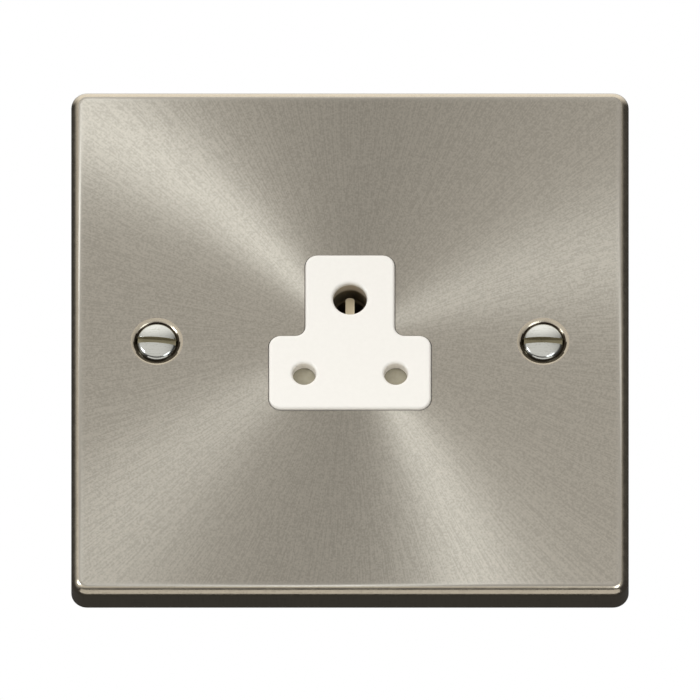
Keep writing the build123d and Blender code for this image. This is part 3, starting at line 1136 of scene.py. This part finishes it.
@dataclass
class SlottedScrew:
    """A screw with a slotted head towards the front and a wound thread.

    Attributes:
        head: Radius and depth along the head's profile, from its top to its neck.
        slot: Half the slot's width.
        floor: Depth of the slot's floor.
        start: Where the thread starts.
        tip: Where the screw ends.
        thread: Its thread.
        steps: Faces around.
    """

    head: Sequence[Point]
    slot: float
    floor: float
    start: float
    tip: float
    thread: Thread
    steps: int = 48

    def build(self, places: Sequence[Matrix]) -> BMesh:
        """Makes the screw and its copies.

        Args:
            places: Where each goes, from a screw whose head looks towards the front.

        Returns:
            The mesh, in millimetres.
        """
        bm = bmesh.new()
        core = self.thread.core
        end = self.thread.crest - core
        shank = [(core, self.start), (core, self.tip - end)]
        point = [(core - end, self.tip), (0, self.tip)]
        lathe(bm, [*self.head, *shank, *point], self.steps)
        if self.slot:
            self.cut_slot(bm)
        self.wind_thread(bm)
        bmesh.ops.recalc_face_normals(bm, faces=bm.faces)
        first = [*bm.verts, *bm.edges, *bm.faces]
        for place in places[1:]:
            copy = bmesh.ops.duplicate(bm, geom=first)
            bmesh.ops.transform(bm, matrix=place, verts=new_verts(copy))
        bmesh.ops.transform(bm, matrix=places[0], verts=new_verts({"geom": first}))
        return bm

    def in_slot(self, face: BMFace, depth: float) -> bool:
        """Whether a face lies between the slot's walls and in front of a depth."""
        middle = face.calc_center_median()
        return abs(middle.z) < self.slot and middle.y < depth

    def cut_slot(self, bm: BMesh) -> None:
        """Cuts the slot across the head.

        Args:
            bm: The mesh.
        """
        for height in (self.slot, -self.slot):
            near = [face for face in bm.faces if min(vert.co.y for vert in face.verts) < self.floor]
            self.cut_plane(bm, near, Vector((0, 0, height)), AXIS_Z)
        strip = [face for face in bm.faces if self.in_slot(face, self.start)]
        self.cut_plane(bm, strip, Vector((0, self.floor, 0)), AXIS_Y)
        gone = [face for face in bm.faces if self.in_slot(face, self.floor)]
        bmesh.ops.delete(bm, geom=gone, context="FACES")
        outside = set(bm.faces)
        floors = []
        for height in (self.slot, -self.slot):
            wall = [
                edge
                for edge in bm.edges
                if edge.is_boundary and all(abs(vert.co.z - height) < SNAP for vert in edge.verts)
            ]
            result = bmesh.ops.extrude_edge_only(bm, edges=wall)
            pivot = Matrix.Translation((0, -self.floor, 0))
            bmesh.ops.scale(bm, vec=(1, 0, 1), space=pivot, verts=new_verts(result))
            floors += [
                edge
                for edge in new_edges(result)
                if all(abs(vert.co.y - self.floor) < SNAP for vert in edge.verts)
            ]
        bmesh.ops.bridge_loops(bm, edges=floors)
        # Faces in the slot take the dark slot colour, which is painted shade.
        for face in bm.faces:
            face.material_index = ScrewFace.OUTSIDE if face in outside else ScrewFace.SLOT
        bmesh.ops.remove_doubles(bm, verts=bm.verts, dist=SNAP)
        lips = [edge for edge in bm.edges if len({face.material_index for face in edge.link_faces}) == 2]
        bevel(bm, lips, SLOT_EDGE, EDGE_STEPS)

    @staticmethod
    def cut_plane(bm: BMesh, faces: Sequence[BMFace], point: Vector, normal: Vector) -> None:
        """Cuts faces along a plane without removing any.

        Args:
            bm: The mesh.
            faces: The faces.
            point: A point of the plane.
            normal: The plane's normal.
        """
        geom = {item for face in faces for item in (face, *face.edges, *face.verts)}
        bmesh.ops.bisect_plane(bm, geom=list(geom), dist=CUT_SNAP, plane_co=point, plane_no=normal)

    def wind_thread(self, bm: BMesh) -> None:
        """Winds the thread on the shank.

        Args:
            bm: The mesh.
        """
        crest, pitch = self.thread.crest, self.thread.pitch
        root = self.thread.core - THREAD_SINK
        middle = pitch / 2
        land = [(crest, middle * (1 - THREAD_LAND)), (crest, middle * (1 + THREAD_LAND))]
        ridge = [(root, THREAD_GAP), *land, (root, pitch - THREAD_GAP)]
        verts = [bm.verts.new((radius, self.start + depth, 0)) for radius, depth in ridge]
        loop = [bm.edges.new(pair) for pair in zip(verts, verts[1:] + verts[:1])]
        bmesh.ops.contextual_create(bm, geom=loop)
        turns = math.floor((self.tip - self.start) / pitch - THREAD_BARE)
        last = coil(bm, loop, AXIS_Y, turns, pitch, THREAD_STEPS)
        bmesh.ops.contextual_create(bm, geom=last)


def arc(centre: Point, radius: float, start: float, end: float, steps: int) -> list[Point]:
    """Points along an arc of a profile.

    Args:
        centre: Radius and depth of its centre.
        radius: Its radius.
        start: Its first angle, in degrees.
        end: Its last angle.
        steps: Edges along it.

    Returns:
        Radius and depth of each point.
    """
    angles = [math.radians(start + (end - start) * step / steps) for step in range(steps + 1)]
    return [(centre[0] + radius * math.cos(turn), centre[1] + radius * math.sin(turn)) for turn in angles]


@dataclass
class FixingScrews:
    """The two screws at the front, which hold the plate to its wall box.

    Attributes:
        out: How far out they stand.
        slot_turn: Turn of each slot, in degrees.
        rim: Radius of a head's rim.
        rim_depth: Where the rim lies.
        crown: Radius of the head's crown.
        shoulder: Radius of the rounding around the crown.
        shoulder_turn: Slope at the end of that rounding, in degrees.
        neck: Radius of the waisted neck.
        thread_start: Where the thread starts.
        tip: Where a screw ends.
        slot: Half the slot's width.
        slot_depth: Depth of the slot under the head's top.
        thread: Their thread.
        steps: Faces around.
        arc_steps: Faces across the crown and across its shoulder.
    """

    out: float = 30.15
    slot_turn: Point = (-4.0, -0.7)
    rim: float = 3.15
    rim_depth: float = -5.0924
    crown: float = 8.5
    shoulder: float = 0.8
    shoulder_turn: float = 75.0
    neck: float = 1.45
    thread_start: float = -2.1
    tip: float = 19.9076
    slot: float = 0.5
    slot_depth: float = 1.1
    thread: Thread = Thread(crest=1.75, core=1.38, pitch=0.6)
    steps: int = 72
    arc_steps: int = 8

    def shape(self) -> SlottedScrew:
        """One screw's shape.

        Returns:
            The shape.
        """
        end = math.radians(self.shoulder_turn)
        inner = self.crown - self.shoulder
        join = math.asin((self.rim - self.shoulder * math.sin(end)) / inner)
        tall = self.crown - inner * math.cos(join) - self.shoulder * math.cos(end)
        top = self.rim_depth - tall
        turn = math.degrees(join)
        crown = arc((0, top + self.crown), self.crown, -90, turn - 90, self.arc_steps)[1:]
        centre = (inner * math.sin(join), top + self.crown - inner * math.cos(join))
        shoulder = arc(centre, self.shoulder, turn - 90, self.shoulder_turn - 90, self.arc_steps)[1:]
        below = [(self.neck, self.rim_depth + self.rim - self.neck), (self.neck, self.thread_start)]
        return SlottedScrew(
            head=[(0.0, top), *crown, *shoulder, *below],
            slot=self.slot,
            floor=top + self.slot_depth,
            start=self.thread_start,
            tip=self.tip,
            thread=self.thread,
            steps=self.steps,
        )

    def build(self) -> list[bpy.types.Object]:
        """Makes the screws.

        Returns:
            The piece.
        """
        places = [
            Matrix.Translation((side * self.out, 0, 0)) @ Matrix.Rotation(math.radians(-turn), 4, "Y")
            for side, turn in zip((-1, 1), self.slot_turn)
        ]
        screws = self.shape().build(places)
        finishes = [CHROME, SLOT_SHADE]
        return [as_piece(screws, "plate_screws", finishes, ["fixing_screws"], faces_out=False)]


@dataclass
class ShutterWorks:
    """The sliding shutter and the coil spring under it.

    Attributes:
        depth: Where the spring's axis lies.
        low: Foot of the spring.
        length: Length of the spring at rest.
        wire: Diameter of its wire.
        across: Diameter of its coils.
        turns: Open turns between the closed ends.
        travel: How far the shutter slides; not used here.
        closed: Pitch of the closed turns, in wires.
        wire_steps: Faces around the wire.
        turn_steps: Faces to a turn.
    """

    depth: float = -2.7
    low: float = -14.675
    length: float = 8.95
    wire: float = 0.25
    across: float = 1.9
    turns: int = 8
    travel: float = 5.0
    closed: float = 1.04
    wire_steps: int = 10
    turn_steps: int = 28

    def build(self) -> list[bpy.types.Object]:
        """Makes the spring, and gives the shutter its finish.

        Returns:
            The pieces.
        """
        bm = bmesh.new()
        ring = bmesh.ops.create_circle(bm, segments=self.wire_steps, radius=self.wire / 2, matrix=UPRIGHT)
        shift(bm, ring["verts"], (self.across - self.wire) / 2, 0, self.low + self.wire / 2)
        loop = list(bm.edges)
        bmesh.ops.contextual_create(bm, geom=loop)
        closed = self.wire * self.closed
        opened = (self.length - self.wire - 2 * closed) / self.turns
        for turns, pitch in ((1, closed), (self.turns, opened), (1, closed)):
            loop = coil(bm, loop, AXIS_Z, turns, pitch, self.turn_steps)
        bmesh.ops.contextual_create(bm, geom=loop)
        shift(bm, bm.verts, 0, self.depth, 0)
        spring = as_piece(bm, "lift_spring", [SPRING], ["shutter_spring"])
        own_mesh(spring)
        return [spring, dress_node("shutter", CREAM)]


@dataclass
class PlateFixings:
    """Studs on the back of the plate, their nuts, and the keepers on the fixing screws.

    Attributes:
        across: How far out the studs stand.
        heights: Their two heights.
        front: Where they meet the plate.
        back: Where they end.
        strap_back: Where the one with the earth strap ends.
        start: Where their thread starts.
        weld: Reach of the weld at their foot.
        thread: Their thread.
        steps: Faces around.
        nut_edge: Reach of the rounding on the nuts.
        keeper_edge: Reach of the rounding on the keepers.
        keeper_steps: Faces across that rounding.
    """

    across: float = 21.2
    heights: Point = (16.63, -14.37)
    front: float = -4.4
    back: float = 1.7
    strap_back: float = 2.3
    start: float = -2.2
    weld: float = 0.25
    thread: Thread = Thread(crest=1.5, core=1.2, pitch=0.5)
    steps: int = 32
    nut_edge: float = 0.08
    keeper_edge: float = 0.15
    keeper_steps: int = 3

    def studs(self, places: Sequence[Point], tip: float) -> BMesh:
        """Studs of one length.

        Args:
            places: Across and height of each.
            tip: Where they end.

        Returns:
            The mesh.
        """
        crest = self.thread.crest
        weld = [(0, self.front), (crest + self.weld, self.front), (crest, self.front + self.weld)]
        shape = SlottedScrew(
            head=[*weld, (crest, self.start)],
            slot=0,
            floor=self.front,
            start=self.start,
            tip=tip,
            thread=self.thread,
            steps=self.steps,
        )
        return shape.build([Matrix.Translation((x, 0, z)) for x, z in places])

    def build(self) -> list[bpy.types.Object]:
        """Makes the studs, and softens the nuts and keepers.

        Returns:
            The pieces.
        """
        top, low = self.heights
        studs = self.studs([(-self.across, low), (self.across, low), (self.across, top)], self.back)
        merge_into(studs, self.studs([(-self.across, top)], self.strap_back))
        nuts = softened("stud_nuts", self.nut_edge)
        keepers = softened("screw_keepers", self.keeper_edge, self.keeper_steps)
        return [
            as_piece(studs, "welded_studs", [PLATED], ["plate_studs"], faces_out=False),
            as_piece(nuts, "clamp_nuts", [PLATED], ["stud_nuts"]),
            as_piece(keepers, "keeper_washers", [NYLON], ["screw_keepers"]),
        ]


@dataclass(frozen=True)
class PanScrews:
    """Screws with low rounded heads that look to the rear.

    Attributes:
        places: Across and height of each.
        turns: Turn of each slot, in degrees.
        seat: Where a head rests.
        tip: Where a screw ends.
        tall: Height of a head.
        thread: Their thread.
        head: Radius of a head.
        edge: Rounding of a head, as a share of its height.
        edge_steps: Faces across that rounding.
        slot: Half the slot's width.
        slot_depth: Depth of the slot.
    """

    places: tuple[Point, ...]
    turns: tuple[float, ...]
    seat: float
    tip: float
    tall: float
    thread: Thread
    head: float = 2.2
    edge: float = 0.45
    edge_steps: int = 6
    slot: float = 0.4
    slot_depth: float = 0.8

    def shape(self) -> SlottedScrew:
        """One screw's shape, seated at the origin with its head to the front.

        Returns:
            The shape.
        """
        edge = self.tall * self.edge
        crown = arc((self.head - edge, edge - self.tall), edge, -90, 0, self.edge_steps)
        neck = [(self.thread.crest, 0.0), (self.thread.crest, self.thread.pitch)]
        return SlottedScrew(
            head=[(0.0, -self.tall), *crown, (self.head, 0.0), *neck],
            slot=self.slot,
            floor=self.slot_depth - self.tall,
            start=self.thread.pitch,
            tip=self.seat - self.tip,
            thread=self.thread,
        )

    def build(self, name: str, node: str) -> bpy.types.Object:
        """Makes the screws.

        Args:
            name: The piece's name.
            node: The CAD node that it replaces.

        Returns:
            The piece.
        """
        spots = []
        for (x, z), turn in zip(self.places, self.turns):
            about = Matrix.Rotation(math.radians(180), 4, "Z") @ Matrix.Rotation(math.radians(turn), 4, "Y")
            spots.append(Matrix.Translation((x, self.seat, z)) @ about)
        screws = self.shape().build(spots)
        return as_piece(screws, name, [PLATED, SLOT_SHADE], [node], faces_out=False)


@dataclass
class ContactBlock:
    """The carrier and its cover behind the white front, and the screws that hold them.

    Attributes:
        screws: The screws.
        carrier_edge: Reach of the rounding on the carrier.
        cover_edge: Reach of the rounding on the cover.
    """

    screws: PanScrews = PanScrews(
        places=((-13.2, 14.63), (-13.2, -12.37), (13.2, 14.63), (13.2, -12.37)),
        turns=(12.0, 63.0, -34.0, 96.0),
        seat=16.0,
        tip=-3.0,
        tall=1.7,
        thread=Thread(crest=1.25, core=0.97, pitch=0.55),
    )
    carrier_edge: float = 0.2
    cover_edge: float = 0.12

    def build(self) -> list[bpy.types.Object]:
        """Softens the mouldings and makes the screws.

        Returns:
            The pieces.
        """
        carrier = softened("contact_carrier", self.carrier_edge)
        cover = softened("rear_cover", self.cover_edge)
        return [
            as_piece(carrier, "carrier_block", [DARK], ["contact_carrier"]),
            as_piece(cover, "terminal_cover", [DARK], ["rear_cover"]),
            self.screws.build("cover_screws", "base_screws"),
        ]


@dataclass
class Contacts:
    """Sleeves, rings, terminals with their clamp screws, and the earth strap.

    Attributes:
        names: The three contacts.
        screws: Their clamp screws.
        block_edge: Reach of the rounding on a terminal.
        strip_edge: Reach of the rounding on the strap.
    """

    names: tuple[str, str, str] = ("earth", "line", "neutral")
    screws: PanScrews = PanScrews(
        places=((0.0, 15.24), (7.15, -12.98), (-7.15, -12.98)),
        turns=(-18.0, 41.0, 74.0),
        seat=15.1,
        tip=12.6,
        tall=1.5,
        thread=Thread(crest=1.5, core=1.2, pitch=0.5),
    )
    block_edge: float = 0.06
    strip_edge: float = 0.08

    def build(self) -> list[bpy.types.Object]:
        """Softens the brass, makes the screws, and finishes what stays as it is.

        Returns:
            The pieces.
        """
        made = []
        for name in self.names:
            node = f"{name}_terminal"
            block = softened(node, self.block_edge)
            made.append(as_piece(block, f"{name}_block", [BRASS], [node]))
            made.append(dress_node(f"{name}_sleeve", SLEEVE))
            made.append(dress_node(f"{name}_grip_ring", SPRING))
        made.append(self.screws.build("clamp_screws", "terminal_screws"))
        strip = softened("earth_strap", self.strip_edge)
        made.append(as_piece(strip, "earth_strip", [BRASS], ["earth_strap"]))
        return made


@dataclass
class WhiteFront:
    """The white front, whose CAD shape stays.

    Attributes:
        node: Its CAD node.
    """

    node: str = "socket_front"

    def build(self) -> list[bpy.types.Object]:
        """Gives the front its finish."""
        return [dress_node(self.node, WHITE)]


@dataclass(frozen=True)
class Lamp:
    """A soft round lamp that faces the socket.

    Attributes:
        name: Its name.
        place: Where it stands, in metres.
        width: Width of its face, in metres.
        power: Its power, in watts.
        colour: Its colour.
    """

    name: str
    place: tuple[float, float, float]
    width: float
    power: float
    colour: Colour = (0.86, 0.93, 1.0)

    def build(self) -> None:
        """Adds the lamp."""
        data = bpy.data.lights.new(self.name, "AREA")
        data.shape = "DISK"
        data.size = self.width
        data.energy = self.power
        data.color = self.colour
        lamp = bpy.data.objects.new(self.name, data)
        lamp.location = self.place
        lamp.rotation_euler = (-lamp.location).to_track_quat("-Z", "Y").to_euler()
        bpy.context.scene.collection.objects.link(lamp)


@dataclass
class Studio:
    """Camera, lamps, world and floor.

    Attributes:
        tilt: How far below the front the camera looks from, in degrees.
        frame_width: Width of the picture, in metres.
        aim: The point in the middle of the picture, in metres.
        distance: From there to the camera.
        clip: Nearest and farthest that the camera sees.
        floor: Height of the floor.
        floor_ahead: How far the floor's middle lies in front of the wall.
        floor_half: Half the floor's depth.
        floor_wide: Half its width.
        floor_colour: Its colour.
        lamps: The lamps at the left and at the right.
        wall: Direction of the white wall behind the camera.
        wall_span: How squarely a ray meets the wall where the wall starts and is full.
        wall_rise: Slopes between which its foot fades.
        ceiling_rise: Slopes between which the ceiling starts and is full.
        front_glow: Light that the wall gives.
        ceiling_glow: Light from the ceiling.
        dim_glow: Light from everywhere else.
    """

    tilt: float = 25.6
    frame_width: float = 0.10924
    aim: tuple[float, float, float] = (0.0, -0.0048, -0.0012)
    distance: float = 0.35
    clip: Point = (0.01, 20.0)
    floor: float = -0.26
    floor_ahead: float = 0.096
    floor_half: float = 0.114
    floor_wide: float = 0.26
    floor_colour: Colour = (0.92, 0.88, 0.82)
    lamps: tuple[Lamp, Lamp] = (
        Lamp("left_lamp", (-0.203, -0.206, -0.017), width=0.07, power=0.242),
        Lamp("right_lamp", (0.127, -0.232, -0.099), width=0.12, power=0.155),
    )
    wall: tuple[float, float, float] = (-0.22, -0.976, 0.0)
    wall_span: Point = (0.2, 1.0)
    wall_rise: Point = (-0.62, -0.2)
    ceiling_rise: Point = (0.45, 1.0)
    front_glow: float = 0.88
    ceiling_glow: float = 1.5
    dim_glow: float = 0.07

    def camera(self) -> None:
        """Puts the camera below the front, looking up."""
        data = bpy.data.cameras.new("camera")
        data.type = "ORTHO"
        data.ortho_scale = self.frame_width
        data.clip_start, data.clip_end = self.clip
        camera = bpy.data.objects.new("camera", data)
        tilt = math.radians(self.tilt)
        look = Vector((0, math.cos(tilt), math.sin(tilt)))
        camera.location = Vector(self.aim) - look * self.distance
        camera.rotation_euler = (math.radians(90) + tilt, 0, 0)
        bpy.context.scene.collection.objects.link(camera)
        bpy.context.scene.camera = camera

    def world(self) -> None:
        """A white ground behind the object, and a dim studio with a pale wall and ceiling around it."""
        world = bpy.data.worlds.new("studio")
        world.use_nodes = True
        world.node_tree.nodes.clear()
        graph = Graph(world.node_tree)
        way = graph.add("ShaderNodeTexCoord").outputs["Generated"]
        slope = graph.axis(way, "Z")
        ceiling = graph.spread(slope, self.ceiling_rise, (0.0, self.ceiling_glow))
        ahead = graph.spread(graph.vector("DOT_PRODUCT", way, self.wall), self.wall_span)
        wall = graph.maths("MULTIPLY", ahead, graph.spread(slope, self.wall_rise))
        front = graph.maths("MULTIPLY", wall, self.front_glow)
        room = graph.maths("ADD", graph.maths("ADD", ceiling, front), self.dim_glow)
        path = graph.add("ShaderNodeLightPath")
        mirrored = graph.maths("MULTIPLY", graph.shine(path), wall)
        white = graph.maths("MAXIMUM", path.outputs["Is Camera Ray"], mirrored)
        level = graph.maths("MAXIMUM", room, white)
        ground = graph.add("ShaderNodeBackground", {"Color": WHITE_LIGHT, "Strength": level})
        graph.add("ShaderNodeOutputWorld", {"Surface": ground.outputs[0]})
        bpy.context.scene.world = world

    def ground(self) -> None:
        """A pale floor below the picture."""
        bm = bmesh.new()
        place = Matrix.Translation((0, -self.floor_ahead, self.floor))
        place = place @ Matrix.Diagonal((self.floor_wide / self.floor_half, 1.0, 1.0, 1.0))
        bmesh.ops.create_grid(bm, x_segments=1, y_segments=1, size=self.floor_half, matrix=place)
        mesh = bpy.data.meshes.new("floor")
        bm.to_mesh(mesh)
        bm.free()
        made = bpy.data.materials.new("pale_floor")
        made.use_nodes = True
        made.node_tree.nodes.clear()
        graph = Graph(made.node_tree)
        matt = graph.add("ShaderNodeBsdfDiffuse", {"Color": opaque(self.floor_colour)})
        white = graph.add("ShaderNodeEmission", {"Color": WHITE_LIGHT})
        path = graph.add("ShaderNodeLightPath")
        seen = graph.maths("MAXIMUM", path.outputs["Is Camera Ray"], graph.shine(path))
        either = graph.add("ShaderNodeMixShader", {0: seen, 1: matt.outputs[0], 2: white.outputs[0]})
        graph.add("ShaderNodeOutputMaterial", {"Surface": either.outputs[0]})
        mesh.materials.append(made)
        floor = bpy.data.objects.new("floor", mesh)
        bpy.context.scene.collection.objects.link(floor)

    def build(self) -> None:
        """Sets everything up."""
        bpy.context.scene.view_settings.view_transform = "Standard"
        self.camera()
        self.world()
        self.ground()
        for lamp in self.lamps:
            lamp.build()


def main() -> None:
    """Builds the studio and every sub-assembly, and says what was made."""
    logging.basicConfig(level=logging.INFO, format="%(message)s")
    Studio().build()
    for assembly in (
        Faceplate(),
        FixingScrews(),
        WhiteFront(),
        ShutterWorks(),
        PlateFixings(),
        ContactBlock(),
        Contacts(),
    ):
        for piece in assembly.build():
            log.info("%s: %s, %d faces", type(assembly).__name__, piece.name, len(piece.data.polygons))


if __name__ == "__main__":
    main()
